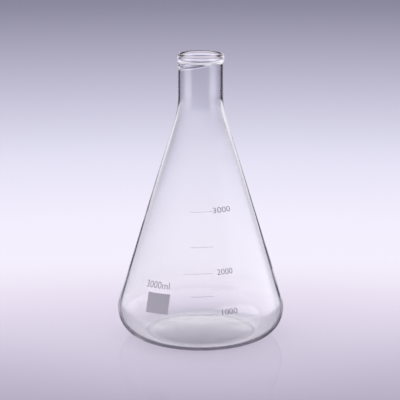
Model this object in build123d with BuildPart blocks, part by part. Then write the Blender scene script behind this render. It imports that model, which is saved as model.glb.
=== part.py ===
from build123d import *
import os
from math import cos, radians, sin, tan

# Conical flask for 3000 ml, blown from borosilicate glass in one piece, with fired enamel marks.
# Lengths are in millimetres and angles in degrees. The flask stands on z = 0 with its axis on Z,
# and its print is read from -Y.

# Glass body, measured outside
body_diameter = 190.0  # at its widest, a little above the table
side_angle = 17.15  # between the straight side and the axis
heel_radius = 32.0  # round from the base to the side
shoulder_radius = 90.0  # round from the side to the neck
neck_diameter = 50.5
neck_length = 61.15  # from the corner that side and neck would make, up to the rim
wall = 2.5

# Base
base_thickness = 3.0
land_width = 5.0  # flat ring that stands on the table
punt_rise = 7.0  # how far the middle of the base is pushed up
punt_round = 12.0  # soft edge between the land and the punt

# Beaded rim, fire polished
bead_height = 10.0
bead_bulge = 1.25  # beyond the neck
bead_crown = 5.5  # from the bead's widest circle up to the rim
bead_round = 3.0  # soft edge between the neck and the bead
lip_width = 1.7  # glass left at the very top, before its edges are melted round

# Enamel print
enamel_thickness = 0.1
line_width = 0.35
print_tilt = 2.0  # the print isn't quite level: it rises to the right
level_1000 = 48.0  # each level mark's height above the table, by the millilitres under it
level_1500 = 67.4
level_2000 = 91.3
level_2500 = 119.2
level_3000 = 156.4
long_mark = 33.0  # at 1000 and 2000 ml
short_mark = 25.5
mark_end = 14.0  # where the marks stop, to the right of the middle
lowest_mark_end = 19.0
patch_width = 28.3
patch_height = 21.4
patch_centre = 57.0  # above the table
patch_angle = -32.5  # round the axis from the front, negative to the left

body_radius = body_diameter / 2
neck_radius = neck_diameter / 2
bore_radius = neck_radius - wall
bead_radius = neck_radius + bead_bulge
land_outer = body_radius - heel_radius
land_inner = land_outer - land_width
# The straight side, carried on down, would meet the table at foot_radius. The heel rounds that
# corner, and foot_radius is where it has to lie for the heel to bulge to body_diameter.
foot_radius = land_outer + heel_radius / tan(radians(90 - side_angle) / 2)
side_run = tan(radians(side_angle))
corner_height = (foot_radius - neck_radius) / side_run
height = corner_height + neck_length


def side_outline(inset, floor, top):
    """Draws floor, heel, side, shoulder and neck as one line, set in from the outside."""
    foot = foot_radius - inset / cos(radians(side_angle))
    neck = neck_radius - inset
    return FilletPolyline(
        (land_inner, floor),
        (foot - floor * side_run, floor),
        (neck, (foot - neck) / side_run),
        (neck, top),
        radius=(heel_radius - inset, shoulder_radius + inset),
    )


def facing(side):
    """Upright plane through the axis that faces outwards, side degrees round from the front."""
    angle = radians(side)
    return Plane(
        origin=(0, 0, 0),
        x_dir=(cos(angle), sin(angle), 0),
        z_dir=(sin(angle), -cos(angle), 0),
    )


# The glass is one section, turned about the axis
with BuildPart() as flask_body:
    with BuildSketch(Plane.XZ) as glass_section:
        with BuildLine():
            TangentArc((0, punt_rise), (land_inner, 0), tangent=(1, 0))
            outside = side_outline(0, 0, height - bead_height)
            bead_widest = (bead_radius, height - bead_crown)
            TangentArc(bead_widest, outside @ 1, tangent=(0, -1))
            lip_edge = (bore_radius + lip_width, height)
            TangentArc(bead_widest, lip_edge, tangent=(0, 1))
            Line(lip_edge, (bore_radius, height))
            inside = side_outline(wall, base_thickness, height)
            punt_top = (0, punt_rise + base_thickness)
            TangentArc(punt_top, inside @ 0, tangent=(1, 0))
            Line(punt_top, (0, punt_rise))
        make_face()
        fillet(glass_section.vertices().group_by(Axis.Y)[-1], radius=0.45 * lip_width)
        for corner, radius in (
            (outside @ 0, punt_round),
            (inside @ 0, punt_round),
            (outside @ 1, bead_round),
        ):
            fillet(glass_section.vertices().sort_by_distance(corner)[0], radius=radius)
    revolve(axis=Axis.Z)
flask_body.part.label = "flask_body"

# A skin as thick as the print, lying on the whole outside of the glass
with BuildPart() as enamel_skin:
    with BuildSketch(Plane.XZ):
        with BuildLine():
            skin_top = height - bead_height - bead_round
            under = side_outline(0, 0, skin_top)
            over = side_outline(-enamel_thickness, -enamel_thickness, skin_top)
            Line(under @ 0, over @ 0)
            Line(under @ 1, over @ 1)
        make_face()
    revolve(axis=Axis.Z)

# Each mark is the part of that skin that lies behind its flat stencil
level_marks = (
    (level_1000, long_mark, lowest_mark_end),
    (level_1500, short_mark, mark_end),
    (level_2000, long_mark, mark_end),
    (level_2500, short_mark, mark_end),
    (level_3000, short_mark, mark_end),
)
with BuildPart() as graduation_lines:
    with BuildSketch(facing(0)):
        for level, length, end in level_marks:
            with Locations((end - length / 2, level)):
                Rectangle(length, line_width, rotation=print_tilt)
    extrude(amount=body_diameter)
    add(enamel_skin.part, mode=Mode.INTERSECT)
graduation_lines.part.label = "graduation_lines"

with BuildPart() as marking_patch:
    with BuildSketch(facing(patch_angle)):
        with Locations((0, patch_centre)):
            Rectangle(patch_width, patch_height, rotation=print_tilt)
    extrude(amount=body_diameter)
    add(enamel_skin.part, mode=Mode.INTERSECT)
marking_patch.part.label = "marking_patch"

os.makedirs("parts", exist_ok=True)
export_step(flask_body.part, "parts/flask_body.step")
export_step(graduation_lines.part, "parts/graduation_lines.step")
export_step(marking_patch.part, "parts/marking_patch.step")
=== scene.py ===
from math import atan2, ceil, cos, exp, hypot, pi, prod, radians, sin, sqrt, tan

import bpy
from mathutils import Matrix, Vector


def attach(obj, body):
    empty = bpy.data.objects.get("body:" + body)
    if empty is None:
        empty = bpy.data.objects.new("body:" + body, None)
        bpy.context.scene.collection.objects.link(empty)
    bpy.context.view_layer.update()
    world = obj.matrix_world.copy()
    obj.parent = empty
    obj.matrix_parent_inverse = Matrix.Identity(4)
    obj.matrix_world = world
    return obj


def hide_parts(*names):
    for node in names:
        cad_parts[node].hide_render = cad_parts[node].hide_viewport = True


bl_info = {
    "name": "Conical Flask",
    "version": (1, 0, 0),
    "blender": (4, 5, 0),
    "location": "View3D > Sidebar > Flask",
    "description": "Dresses the packed conical flask in clear glass and fired enamel",
    "category": "Object",
}

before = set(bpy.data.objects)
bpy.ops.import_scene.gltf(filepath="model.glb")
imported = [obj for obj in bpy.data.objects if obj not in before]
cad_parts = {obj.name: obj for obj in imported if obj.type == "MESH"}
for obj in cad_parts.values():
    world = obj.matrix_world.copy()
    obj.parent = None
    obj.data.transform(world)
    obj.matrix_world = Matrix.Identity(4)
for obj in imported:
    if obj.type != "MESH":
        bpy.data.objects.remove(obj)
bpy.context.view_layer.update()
MM = 0.001

# How finely the glass is drawn
LINE_STEP = 6 * MM  # longest piece of a straight line
TOOLED_STEP = 0.4 * MM  # the same where the tool's marks are pressed
ARC_STEP = 0.62  # angle of an arc's piece in radians, times the root of its radius in mm
TURN_STEPS = 288  # pieces of the whole turn about the axis

# Parts of the glass that the sizes don't give
MELTED = 0.45  # radius of the lip's molten edges, as a share of the lip's width
TOOLED = 9 * MM  # how far the tool's marks reach down the neck from the bead
CROWN_WIDTH = 0.55 * MM
GROOVE_WIDTH = 0.6 * MM
LAP_WIDTH = 0.7 * MM
BORE_FADE = 50 * MM, 90 * MM  # depths below the rim where the bore's shift starts and ends to fade
UNEVEN_FADE = 60 * MM, 100 * MM  # the same for the even wall above the uneven one
BUMP_SIZE = 45 * MM  # of the uneven wall

# Name, words, height and length of the lettering in millimetres, its left end's turn from the
# front in degrees, and the height of its foot over the table in millimetres
NUMBERS = (
    ("number_3000", "3000", 6.1, 21.3, 13.3, 154.7),
    ("number_2000", "2000", 6.1, 18.0, 13.5, 89.8),
    ("number_1000", "1000", 6.0, 18.0, 15.1, 47.6),
    ("capacity_3000_ml", "3000ml", 7.6, 31.0, -45.4, 72.0),
)
THINNED = 0.010  # share of the lettering's height that its strokes lose on either side

# How solid each enamel is, and below which grain it lets the glass through
NUMBERS_ENAMEL = (0.9, 0.35)
MARKS_ENAMEL = {
    "graduation_lines": (0.5, 0.35),
    "marking_patch": (1.0, 0.1),
}

# Sine of the elevation, and the colour that the backdrop has there. The backdrop is painted light
# falloff: a painted pool of light round -0.25, and painted shade falling off into a dark band just
# below the horizon and into a second dark band near -0.34.
BACKDROP_PAINTED_FALLOFF = (
    (-0.70, (0.84, 0.79, 0.90)),
    (-0.46, (0.78, 0.73, 0.84)),
    (-0.345, (0.44, 0.41, 0.52)),
    (-0.317, (0.57, 0.52, 0.66)),
    (-0.282, (0.81, 0.74, 0.88)),
    (-0.260, (0.91, 0.87, 0.98)),
    (-0.235, (0.90, 0.86, 0.99)),
    (-0.200, (0.79, 0.77, 0.92)),
    (-0.152, (0.51, 0.49, 0.63)),
    (-0.105, (0.25, 0.24, 0.33)),
    (-0.050, (0.22, 0.21, 0.28)),
    (0.050, (0.55, 0.54, 0.63)),
    (0.250, (0.95, 0.93, 1.00)),
)

# The same for the studio, which only reflections show
STUDIO = (
    (-0.90, (0.10, 0.09, 0.13)),
    (-0.36, (0.10, 0.09, 0.13)),
    (-0.30, (0.70, 0.66, 0.78)),
    (-0.11, (0.80, 0.78, 0.86)),
    (0.10, (0.90, 0.88, 0.94)),
    (0.32, (1.32, 1.29, 1.36)),
    (0.80, (1.05, 1.03, 1.09)),
)

# What stands in the studio, in this order: its colour, and along which ways of the ray's direction
# it fades in, from where to where. "sideways" is the same to the left and to the right, and
# "slanting" is that way turned a little to the front.
STUDIO_CARDS = (
    # Dark card low down on either side
    ((0.04, 0.03, 0.06), (("up", -0.20, -0.175), ("up", -0.11, -0.135), ("sideways", 0.12, 0.26))),
    # Grey wings below it, farther out
    ((0.16, 0.15, 0.20), (("sideways", 0.34, 0.50), ("up", -0.12, -0.20))),
    # Softbox on either side
    ((1.40, 1.38, 1.50), (("slanting", 0.80, 0.99), ("up", 0.40, 0.25), ("up", -0.10, -0.165))),
    # A second one at the right
    ((1.80, 1.75, 1.85), (("right", 0.60, 0.90), ("up", 0.40, 0.25), ("up", -0.10, 0.0))),
    # The dark room behind the camera
    ((0.08, 0.07, 0.10), (("back", -0.45, -0.85), ("up", 0.15, 0.0))),
)
SLANT = 0.940, 0.342  # cosine and sine of 20 degrees
FILL = (0.86, 0.85, 0.90)  # what lights matt surfaces from all sides

# Table, with radii in metres. The second fade is hidden under the flask.
TABLE_RADIUS = 0.4
TABLE_FADE = 0.08, 0.30  # where the table runs out into the backdrop
UNDER_FADE = 0.050, 0.068
MATT_SHARE = 0.28
UNDER_SHARE = 0.5  # added to it under the flask
GLOSS_SHARE = 0.45

# Lamp and camera, in metres
LAMP_PLACE = (-0.9, 0.6, 1.6)
LAMP_AIM = (0.9, -0.6, -1.45)
LAMP_SIDE = 1.2
LAMP_WATTS = 6
CAMERA_PLACE = (-0.0008, -1.8166, 0.5742)
CAMERA_DOWN = radians(12.943)
CAMERA_LENS = 148.03  # millimetres, as is the sensor
CAMERA_SENSOR = 36


class FlaskSizes(bpy.types.PropertyGroup):
    """Sizes of glass and print as the CAD model has them, and of what blowing and tooling left"""

    def length(name, description, millimetres):
        return bpy.props.FloatProperty(
            name=name,
            description=description,
            default=millimetres * MM,
            min=0,
            unit="LENGTH",
            subtype="DISTANCE",
        )

    def angle(name, description, degrees):
        return bpy.props.FloatProperty(
            name=name,
            description=description,
            default=radians(degrees),
            subtype="ANGLE",
        )

    body_diameter: length("Body diameter", "Widest, just above the table", 190)
    side_angle: angle("Side angle", "Between the straight side and the axis", 17.15)
    heel_radius: length("Heel radius", "Round from the base to the side", 32)
    shoulder_radius: length("Shoulder radius", "Round from side to neck", 90)
    neck_diameter: length("Neck diameter", "Outside of the neck", 50.5)
    neck_length: length("Neck length", "From the corner of side and neck up", 61.15)
    wall: length("Wall", "Thickness of side and neck", 2.5)
    base_thickness: length("Base thickness", "Thickness of the base", 3)
    land_width: length("Land width", "Flat ring that stands on the table", 5)
    punt_rise: length("Punt rise", "How far the middle is pushed up", 7)
    punt_round: length("Punt round", "Soft edge between land and punt", 12)
    bead_height: length("Bead height", "Height of the beaded rim", 10)
    bead_bulge: length("Bead bulge", "How far the bead stands out", 1.25)
    bead_crown: length("Bead crown", "From the bead's widest up to the rim", 5.5)
    bead_round: length("Bead round", "Soft edge between neck and bead", 3)
    lip_width: length("Lip width", "Glass left at the very top", 1.7)

    wall_wander: length("Wall wander", "How far the body's inside wanders", 0.15)
    bore_shift: length("Bore shift", "How far the bore lies to the left", 0.35)
    crown_level: length("Crown level", "From the rim down to the ring round the bead", 4.6)
    crown_depth: length("Crown depth", "How deep that ring is pressed", 0.09)
    groove_level: length("Groove level", "From the rim down to the groove", 9.2)
    groove_depth: length("Groove depth", "How deep the groove is pressed", 0.15)
    lap_level: length("Lap level", "From the rim down to the slanting lap", 12.5)
    lap_slant: length("Lap slant", "How far the lap climbs and sinks", 4.5)
    lap_depth: length("Lap depth", "How deep the lap is pressed", 0.14)

    enamel_thickness: length("Enamel thickness", "Thickness of the print", 0.1)
    print_tilt: angle("Print tilt", "How far the print rises to the right", 2)
    del length, angle


class FlaskColours(bpy.types.PropertyGroup):
    """What the flask's materials and the table are coloured with"""

    def colour(name, description, *red_green_blue):
        return bpy.props.FloatVectorProperty(
            name=name,
            description=description,
            default=red_green_blue,
            min=0,
            max=1,
            subtype="COLOR",
        )

    glass: colour("Glass", "Tint that the clear glass gives to light", 0.975, 0.975, 0.982)
    enamel: colour("Enamel", "Level marks and marking patch", 0.41, 0.385, 0.445)
    numbers: colour("Numbers", "Printed volumes", 0.20, 0.19, 0.22)
    table: colour("Table", "Matt table under the flask", 0.72, 0.66, 0.80)
    del colour


class Socket:
    """A node's output. Arithmetic on it adds Math nodes to the same tree."""

    def __init__(self, shader, output):
        self.shader = shader
        self.output = output

    def maths(self, operation, *values):
        return self.shader.add("Math", {"operation": operation}, *values)

    def __add__(self, other):
        return self.maths("ADD", self, other)

    def __sub__(self, other):
        return self.maths("SUBTRACT", self, other)

    def __rsub__(self, other):
        return self.maths("SUBTRACT", other, self)

    def __mul__(self, other):
        return self.maths("MULTIPLY", self, other)

    def __gt__(self, other):
        return self.maths("GREATER_THAN", self, other)

    def __abs__(self):
        return self.maths("ABSOLUTE", self)


class Shader:
    """The node tree of a material or world, emptied and built anew."""

    def __init__(self, owner):
        owner.use_nodes = True
        self.tree = owner.node_tree
        self.tree.nodes.clear()

    def set(self, node, key, value):
        """Links value to one of the node's inputs, or sets the input to it."""
        if isinstance(value, Socket):
            self.tree.links.new(value.output, node.inputs[key])
        else:
            node.inputs[key].default_value = value

    def add(self, kind, settings=None, *values, out=0, **named):
        """Adds a node, with its settings first and then its sockets by order or name."""
        node = self.tree.nodes.new("ShaderNode" + kind)
        for key, setting in (settings or {}).items():
            setattr(node, key, setting)
        for place, value in enumerate(values):
            self.set(node, place, value)
        for name, value in named.items():
            self.set(node, name.replace("_", " "), value)
        return Socket(self, node.outputs[out]) if node.outputs else None

    def outputs(self, kind, *values):
        """Adds a node and gives all its outputs by their names."""
        node = self.tree.nodes.new("ShaderNode" + kind)
        for place, value in enumerate(values):
            self.set(node, place, value)
        return {output.name: Socket(self, output) for output in node.outputs}

    def fade(self, value, start, end):
        """0 where value is at start, 1 at end, and a soft step between them."""
        return self.add(
            "MapRange",
            {"interpolation_type": "SMOOTHSTEP"},
            value,
            start,
            end,
            0.0,
            1.0,
        )

    def mix(self, share, first, second):
        """Mixes two colours by share."""
        node = self.tree.nodes.new("ShaderNodeMix")
        node.data_type = "RGBA"
        # The node has sockets for every data type. These are the ones for colours.
        for place, value in ((0, share), (6, first), (7, second)):
            self.set(node, place, value)
        return Socket(self, node.outputs[2])

    def elevation_ramp(self, height, stops):
        """A colour for each height of the ray's direction, from straight down to straight up."""
        node = self.tree.nodes.new("ShaderNodeValToRGB")
        ramp = node.color_ramp
        for _ in stops[2:]:
            ramp.elements.new(1.0)
        for element, (place, colour) in zip(ramp.elements, stops):
            element.position = (place + 1) / 2
            element.color = (*colour, 1)
        self.set(node, 0, (height + 1) * 0.5)
        return Socket(self, node.outputs[0])


def select_nothing():
    """Leaves no object selected or active, and no edit mode open."""
    if bpy.context.object and bpy.context.object.mode != "OBJECT":
        bpy.ops.object.mode_set(mode="OBJECT")
    bpy.ops.object.select_all(action="DESELECT")


class Pencil:
    """Draws a section in the XZ plane, in edit mode, line by line and arc by arc."""

    def __init__(self, start):
        self.at = start
        select_nothing()
        # The first point is a small plane, merged at its middle
        bpy.ops.mesh.primitive_plane_add(size=MM, location=(0, 0, 0))
        bpy.ops.object.mode_set(mode="EDIT")
        bpy.ops.mesh.select_all(action="SELECT")
        bpy.ops.mesh.merge(type="CENTER")
        bpy.ops.transform.translate(value=(start[0], 0, start[1]))

    def line(self, end, step=LINE_STEP):
        run, rise = end[0] - self.at[0], end[1] - self.at[1]
        steps = max(1, ceil(hypot(run, rise) / step))
        for _ in range(steps):
            move = (run / steps, 0, rise / steps)
            bpy.ops.mesh.extrude_region_move(TRANSFORM_OT_translate={"value": move})
        self.at = end

    def arc(self, centre, end):
        """Turns the line's end about centre, the short way, to face the point end."""
        first = atan2(self.at[1] - centre[1], self.at[0] - centre[0])
        last = atan2(end[1] - centre[1], end[0] - centre[0])
        angle = (last - first + pi) % (2 * pi) - pi
        radius = hypot(self.at[0] - centre[0], self.at[1] - centre[1])
        steps = max(4, ceil(abs(angle) * sqrt(radius / MM) / ARC_STEP))
        bpy.ops.mesh.spin(
            steps=steps,
            angle=angle,
            center=(centre[0], 0, centre[1]),
            axis=(0, 1, 0),
        )
        self.at = (centre[0] + radius * cos(last), centre[1] + radius * sin(last))

    def count(self):
        """How many points are drawn so far."""
        bpy.context.object.update_from_editmode()
        return len(bpy.context.object.data.vertices)


class GlassSection:
    """The half section of the glass, with its points and arc centres in the XZ plane."""

    def __init__(self, size):
        self.size = size
        self.across, self.up = cos(size.side_angle), sin(size.side_angle)
        self.slope = tan(size.side_angle)
        self.neck = size.neck_diameter / 2
        self.bore = self.neck - size.wall
        self.land = size.body_diameter / 2 - size.heel_radius
        # The straight side, carried on down, would meet the table at foot
        self.foot = self.land + size.heel_radius / tan((pi / 2 - size.side_angle) / 2)
        corner = (self.foot - self.neck) / self.slope
        self.top = corner + size.neck_length
        bend = size.shoulder_radius * tan(size.side_angle / 2)
        self.shoulder = (self.neck + size.shoulder_radius, corner + bend)
        self.melt = MELTED * size.lip_width
        # The punt is an arc that lies flat on the axis and comes down to the land. A second arc
        # softens that edge, and ends on the land at soft.
        land_inner = self.land - size.land_width
        punt = (land_inner**2 + size.punt_rise**2) / (2 * size.punt_rise)
        fall = punt - size.punt_rise
        self.punt_centre = (0, -fall)
        self.soft = sqrt((punt + size.punt_round) ** 2 - (fall + size.punt_round) ** 2)

    def draw(self):
        """Draws the section from the punt's underside round to its top, open on the axis.

        Returns how many of its points lie on the outside, which are the first ones.
        """
        pencil = Pencil((0, self.size.punt_rise))
        self.draw_body(pencil)
        self.draw_bead(pencil)
        outside = pencil.count()
        self.draw_inside(pencil)
        return outside

    def draw_body(self, pencil):
        size = self.size
        soft_centre = (self.soft, size.punt_round)
        pencil.arc(self.punt_centre, soft_centre)
        pencil.arc(soft_centre, (self.soft, 0))
        pencil.line((self.land, 0))
        heel = (self.land, size.heel_radius)
        pencil.arc(heel, (heel[0] + self.across, heel[1] + self.up))
        x, z = self.shoulder
        radius = size.shoulder_radius
        pencil.line((x - radius * self.across, z - radius * self.up))
        pencil.arc(self.shoulder, (x - radius, z))

    def draw_bead(self, pencil):
        size = self.size
        x, z = self.neck + size.bead_bulge, self.top - size.bead_crown
        # Below its widest circle the bead is an arc, and a hollow one leads it into the neck
        drop = size.bead_height - size.bead_crown
        lower = (size.bead_bulge**2 + drop**2) / (2 * size.bead_bulge)
        lower_centre = (x - lower, z)
        hollow_x = self.neck + size.bead_round
        reach = lower + size.bead_round
        hollow = (hollow_x, z - sqrt(reach**2 - (hollow_x - lower_centre[0]) ** 2))
        pencil.line((self.neck, hollow[1] - TOOLED))
        pencil.line((self.neck, hollow[1]), TOOLED_STEP)
        pencil.arc(hollow, lower_centre)
        pencil.arc(lower_centre, (x, z))
        # Above it the bead leans in to the lip, whose edge is melted round
        lean = x - (self.bore + size.lip_width)
        upper = (lean**2 + size.bead_crown**2) / (2 * lean)
        melt_z = self.top - self.melt
        melt_x = x - upper + sqrt((upper - self.melt) ** 2 - (melt_z - z) ** 2)
        pencil.arc((x - upper, z), (melt_x, melt_z))
        pencil.arc((melt_x, melt_z), (melt_x, self.top))

    def draw_inside(self, pencil):
        size = self.size
        melt_centre = (self.bore + self.melt, self.top - self.melt)
        pencil.line((melt_centre[0], self.top))
        pencil.arc(melt_centre, (self.bore, melt_centre[1]))
        x, z = self.shoulder
        pencil.line((self.bore, z))
        pencil.arc(self.shoulder, (x - self.across, z - self.up))
        radius = size.heel_radius - size.wall
        foot = self.foot - size.wall / self.across
        z = size.base_thickness + radius
        x = foot - z * self.slope - radius / self.across
        pencil.line((x + radius * self.across, z + radius * self.up))
        pencil.arc((x, z), (x, 0))
        pencil.line((self.soft, size.base_thickness))
        soft_centre = (self.soft, size.punt_round + size.base_thickness)
        punt_centre = (0, self.punt_centre[1] + size.base_thickness)
        pencil.arc(soft_centre, punt_centre)
        pencil.arc(punt_centre, (0, self.top))


def make_wall_uneven(glass, size, top):
    """Lets the blown body's inside wander a little. The outside and the neck stay true."""
    inside = glass.vertex_groups["inside"]
    start, end = UNEVEN_FADE
    for vertex in glass.data.vertices:
        # The outside's points are in no group
        if vertex.groups:
            depth = top - vertex.co.z
            inside.add([vertex.index], min(1, max(0, depth - start) / (end - start)), "REPLACE")
    texture = bpy.data.textures.new("uneven_wall", "CLOUDS")
    texture.noise_scale = BUMP_SIZE
    texture.noise_depth = 1
    uneven = glass.modifiers.new("uneven_wall", "DISPLACE")
    uneven.texture = texture
    uneven.texture_coords = "LOCAL"
    uneven.vertex_group = "inside"
    uneven.mid_level = 0.5
    uneven.strength = size.wall_wander
    bpy.ops.object.modifier_apply(modifier=uneven.name)


def bell(distance, width):
    """1 where distance is 0, and soon nothing beyond width."""
    return exp(-((distance / width) ** 2))


def tool_push(size, turn, depth):
    """How far the tool moved the outside of the neck, outwards, that far below the rim."""
    # The tool was held by hand, so its marks don't run quite level
    shake = 0.12 * MM * sin(7 * turn + 1.0) + 0.08 * MM * sin(13 * turn)
    crown = size.crown_level - 0.5 * MM * sin(turn - 0.7)
    groove = size.groove_level - 0.35 * MM * sin(2 * turn + 0.6) - shake
    lap = size.lap_level - size.lap_slant * sin(turn + 0.12)
    push = -size.crown_depth * bell(depth - crown, CROWN_WIDTH)
    push -= size.groove_depth * bell(depth - groove, GROOVE_WIDTH)
    if lap > groove:
        # The glass between the two stands out as far as the lap's edge is pressed in
        facing = 0.5 + 0.5 * cos(turn + 0.5)
        swell = bell(depth - (lap + groove) / 2, (lap - groove) / 3)
        push += size.lap_depth * facing * (swell - bell(depth - lap, LAP_WIDTH))
    return push


def press_tool_marks(glass, size, top):
    """Adds the tool's marks to the neck's outside, and moves its bore off the middle."""
    inside = glass.vertex_groups["inside"].index
    start, end = BORE_FADE
    for vertex in glass.data.vertices:
        x, y, z = vertex.co
        radius = hypot(x, y)
        depth = top - z
        if depth > end or radius < MM:
            continue
        turn = atan2(x, -y)
        if any(group.group == inside for group in vertex.groups):
            # To the left, so the wall is thicker on the right
            push = -size.bore_shift * sin(turn) * min(1, (end - depth) / (end - start))
        else:
            push = tool_push(size, turn, depth)
        share = 1 + push / radius
        vertex.co = (x * share, y * share, z)


def new_material(name):
    material = bpy.data.materials.new(name)
    return material, Shader(material)


def glass_material(tint):
    """Clear glass with a faint ripple on its surface."""
    material, shader = new_material("clear_borosilicate")
    place = shader.add("TexCoord", out="Object")
    ripples = shader.add("TexNoise", None, Vector=place, Scale=22.0, Detail=1.0)
    bump = shader.add("Bump", None, Strength=0.10, Distance=0.0012, Height=ripples)
    glass = shader.add(
        "BsdfPrincipled",
        None,
        Base_Color=(*tint, 1),
        Roughness=0.0,
        IOR=1.474,
        Transmission_Weight=1.0,
        Normal=bump,
    )
    shader.add("OutputMaterial", None, glass)
    return material


def enamel_material(name, colour, solid, speckle):
    """Fired enamel, whose grain lets a little of the glass through."""
    material, shader = new_material(name)
    place = shader.add("TexCoord", out="Object")
    grain = shader.add("TexNoise", None, Vector=place, Scale=900.0, Detail=3.0)
    cloud = shader.add("TexNoise", None, Vector=place, Scale=70.0, Detail=2.0)
    darker = [0.9 * part for part in colour]
    tone = shader.mix(cloud, (*colour, 1), (*darker, 1))
    alpha = shader.fade(grain, speckle - 0.1, speckle) * solid
    bump = shader.add("Bump", None, Strength=0.2, Distance=0.00005, Height=grain)
    enamel = shader.add(
        "BsdfPrincipled",
        None,
        Base_Color=tone,
        Roughness=0.45,
        Alpha=alpha,
        Normal=bump,
    )
    shader.add("OutputMaterial", None, enamel)
    return material


class FLASK_OT_glass(bpy.types.Operator):
    """Draws the glass section and turns it about the axis"""

    bl_idname = "flask.glass"
    bl_label = "Glass Body"

    def execute(self, context):
        size = context.scene.flask_sizes
        section = GlassSection(size)
        outside = section.draw()
        bpy.ops.object.mode_set(mode="OBJECT")
        glass = context.object
        inside = glass.vertex_groups.new(name="inside")
        inside.add(range(outside, len(glass.data.vertices)), 1.0, "REPLACE")
        bpy.ops.object.mode_set(mode="EDIT")
        bpy.ops.mesh.select_all(action="SELECT")
        bpy.ops.mesh.spin(steps=TURN_STEPS, angle=2 * pi, center=(0, 0, 0), axis=(0, 0, 1))
        bpy.ops.mesh.select_all(action="SELECT")
        bpy.ops.mesh.remove_doubles(threshold=0.005 * MM)
        bpy.ops.mesh.normals_make_consistent(inside=False)
        bpy.ops.object.mode_set(mode="OBJECT")
        glass.name = glass.data.name = "flask_glass"
        make_wall_uneven(glass, size, section.top)
        press_tool_marks(glass, size, section.top)
        bpy.ops.object.shade_smooth()
        glass.data.materials.append(glass_material(context.scene.flask_colours.glass))
        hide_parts("flask_body")
        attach(glass, "root")
        return {"FINISHED"}


class FLASK_OT_enamel(bpy.types.Operator):
    """Gives the level marks and the marking patch their enamel"""

    bl_idname = "flask.enamel"
    bl_label = "Enamel Marks"

    def execute(self, context):
        colour = context.scene.flask_colours.enamel
        for node, (solid, speckle) in MARKS_ENAMEL.items():
            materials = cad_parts[node].data.materials
            materials.clear()
            materials.append(enamel_material(node, colour, solid, speckle))
        return {"FINISHED"}


def letter(name, words, height, length, thickness):
    """Makes words a flat mesh of those sizes, whose left end and foot lie on the Y and X axes."""
    select_nothing()
    bpy.ops.object.text_add(location=(0, 0, 0))
    text = bpy.context.object
    text.name = name
    text.data.body = words
    text.data.size = height
    text.data.resolution_u = 6
    text.data.offset = -THINNED * height
    text.data.extrude = thickness / 2
    bpy.ops.object.convert(target="MESH")
    piece = bpy.context.object
    piece.data.name = name
    low = [min(v.co[i] for v in piece.data.vertices) for i in range(2)]
    high = [max(v.co[i] for v in piece.data.vertices) for i in range(2)]
    for vertex in piece.data.vertices:
        x, y, z = vertex.co
        vertex.co = (
            (x - low[0]) * length / (high[0] - low[0]),
            (y - low[1]) * height / (high[1] - low[1]),
            z + thickness / 2,
        )
    # Cuts a millimetre apart, so that it can bend
    bpy.ops.object.mode_set(mode="EDIT")
    for step in range(1, ceil(length / MM)):
        bpy.ops.mesh.select_all(action="SELECT")
        bpy.ops.mesh.bisect(plane_co=(step * MM, 0, 0), plane_no=(1, 0, 0))
    bpy.ops.mesh.select_all(action="SELECT")
    bpy.ops.mesh.remove_doubles(threshold=0.001 * MM)
    bpy.ops.mesh.normals_make_consistent(inside=False)
    bpy.ops.object.mode_set(mode="OBJECT")
    return piece


def lay_on_side(piece, size, turn, foot):
    """Bends flat lettering round the straight side, rising to the right as the print does."""
    section = GlassSection(size)
    middle = section.foot - foot * section.slope
    run, rise = cos(size.print_tilt), sin(size.print_tilt)
    for vertex in piece.data.vertices:
        along, up, out = vertex.co
        along, up = along * run - up * rise, along * rise + up * run
        angle = turn + along / middle
        z = foot + up * section.across + out * section.up
        radius = middle - up * section.up + out * section.across
        vertex.co = (radius * sin(angle), -radius * cos(angle), z)


class FLASK_OT_numbers(bpy.types.Operator):
    """Prints the volumes beside the level marks and the capacity over the patch"""

    bl_idname = "flask.numbers"
    bl_label = "Numbers"

    def execute(self, context):
        size = context.scene.flask_sizes
        colour = context.scene.flask_colours.numbers
        enamel = enamel_material("printed_numbers", colour, *NUMBERS_ENAMEL)
        for name, words, height, length, turn, foot in NUMBERS:
            piece = letter(name, words, height * MM, length * MM, size.enamel_thickness)
            lay_on_side(piece, size, radians(turn), foot * MM)
            piece.data.materials.append(enamel)
            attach(piece, "root")
        return {"FINISHED"}


def light_studio(scene):
    """Surrounds the flask with the backdrop, whose colours paint a pool of light and its falloff,
    and with the studio that its reflections show.
    """
    world = bpy.data.worlds.new("studio")
    scene.world = world
    shader = Shader(world)
    ray = shader.outputs("LightPath")
    direction = shader.outputs("SeparateXYZ", shader.add("TexCoord", out="Generated"))
    right, back, up = direction["X"], direction["Y"], direction["Z"]
    sideways = abs(right)
    ways = {
        "right": right,
        "back": back,
        "up": up,
        "sideways": sideways,
        "slanting": sideways * SLANT[0] - back * SLANT[1],
    }
    studio = shader.elevation_ramp(up, STUDIO)
    for colour, limits in STUDIO_CARDS:
        fades = [shader.fade(ways[way], start, end) for way, start, end in limits]
        studio = shader.mix(prod(fades[1:], start=fades[0]), studio, (*colour, 1))
    # The backdrop's colours are painted light: a pool of light with painted shade above and below
    # it
    backdrop = shader.elevation_ramp(up, BACKDROP_PAINTED_FALLOFF)
    seen = shader.mix(ray["Glossy Depth"] > 0.5, backdrop, studio)
    # Light that has met a matt surface comes from the plain fill instead
    shown = ray["Is Camera Ray"] + ray["Is Glossy Ray"] + ray["Is Transmission Ray"]
    shown = shown * (1 - (ray["Diffuse Depth"] > 0.5))
    background = shader.add("Background", None, shader.mix(shown, (*FILL, 1), seen), 1.0)
    shader.add("OutputWorld", None, background)


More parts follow.
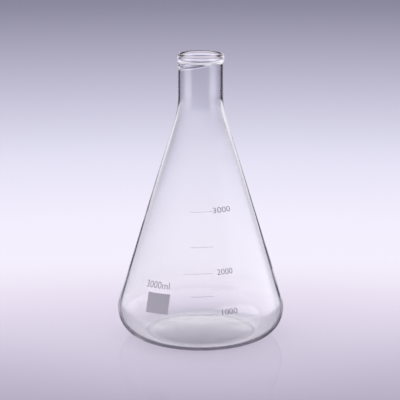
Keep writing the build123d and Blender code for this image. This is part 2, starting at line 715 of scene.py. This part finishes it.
def floor_material(colour):
    """Matt, faintly glossy table that runs out into the backdrop round the flask."""
    material, shader = new_material("pale_table")
    place = shader.add("TexCoord", out="Object")
    radius = shader.add("VectorMath", {"operation": "LENGTH"}, place, out="Value")
    near = 1 - shader.fade(radius, *TABLE_FADE)
    under = 1 - shader.fade(radius, *UNDER_FADE)
    matt = shader.add("BsdfDiffuse", None, (*colour, 1))
    clear = shader.add("BsdfTransparent")
    gloss = shader.add("BsdfGlossy", None, (0.8, 0.8, 0.8, 1), Roughness=0.02)
    fresnel = shader.add("Fresnel", None, IOR=1.45)
    mixed = shader.add("MixShader", None, near * MATT_SHARE + under * UNDER_SHARE, clear, matt)
    mixed = shader.add("MixShader", None, fresnel * near * GLOSS_SHARE, mixed, gloss)
    shader.add("OutputMaterial", None, mixed)
    return material


class FLASK_OT_stage(bpy.types.Operator):
    """Sets up the table, the studio light and the camera"""

    bl_idname = "flask.stage"
    bl_label = "Stage"

    def execute(self, context):
        scene = context.scene
        scene.view_settings.view_transform = "Standard"
        # Light that runs along inside the wall reflects many times before it leaves
        scene.cycles.max_bounces = 40
        scene.cycles.glossy_bounces = 32
        scene.cycles.transmission_bounces = 40
        light_studio(scene)
        select_nothing()
        bpy.ops.mesh.primitive_circle_add(vertices=128, radius=TABLE_RADIUS, fill_type="NGON")
        floor = context.object
        floor.name = "table"
        floor.data.materials.append(floor_material(scene.flask_colours.table))
        bpy.ops.object.light_add(type="AREA", location=LAMP_PLACE)
        lamp = context.object
        lamp.name = "softbox"
        lamp.rotation_euler = Vector(LAMP_AIM).to_track_quat("-Z", "Y").to_euler()
        lamp.data.shape = "SQUARE"
        lamp.data.size = LAMP_SIDE
        lamp.data.energy = LAMP_WATTS
        lamp.visible_glossy = False
        bpy.ops.object.camera_add(location=CAMERA_PLACE)
        camera = context.object
        camera.rotation_euler = (pi / 2 - CAMERA_DOWN, 0, 0)
        camera.data.lens = CAMERA_LENS
        camera.data.sensor_width = CAMERA_SENSOR
        camera.data.clip_start = 0.01
        camera.data.clip_end = 100
        scene.camera = camera
        return {"FINISHED"}


class FLASK_PT_panel(bpy.types.Panel):
    """Lists the flask's sizes and colours, and the steps that make it"""

    bl_idname = "FLASK_PT_panel"
    bl_label = "Conical Flask"
    bl_space_type = "VIEW_3D"
    bl_region_type = "UI"
    bl_category = "Flask"

    def draw(self, context):
        for group in (context.scene.flask_sizes, context.scene.flask_colours):
            for name in group.__annotations__:
                self.layout.prop(group, name)
        for operator in STEPS:
            self.layout.operator(operator.bl_idname)


STEPS = (FLASK_OT_glass, FLASK_OT_enamel, FLASK_OT_numbers, FLASK_OT_stage)
CLASSES = (FlaskSizes, FlaskColours, *STEPS, FLASK_PT_panel)


def register():
    for part in CLASSES:
        bpy.utils.register_class(part)
    bpy.types.Scene.flask_sizes = bpy.props.PointerProperty(type=FlaskSizes)
    bpy.types.Scene.flask_colours = bpy.props.PointerProperty(type=FlaskColours)


def unregister():
    del bpy.types.Scene.flask_colours
    del bpy.types.Scene.flask_sizes
    for part in reversed(CLASSES):
        bpy.utils.unregister_class(part)


def main():
    register()
    bpy.ops.flask.glass()
    bpy.ops.flask.enamel()
    bpy.ops.flask.numbers()
    bpy.ops.flask.stage()


if __name__ == "__main__":
    main()
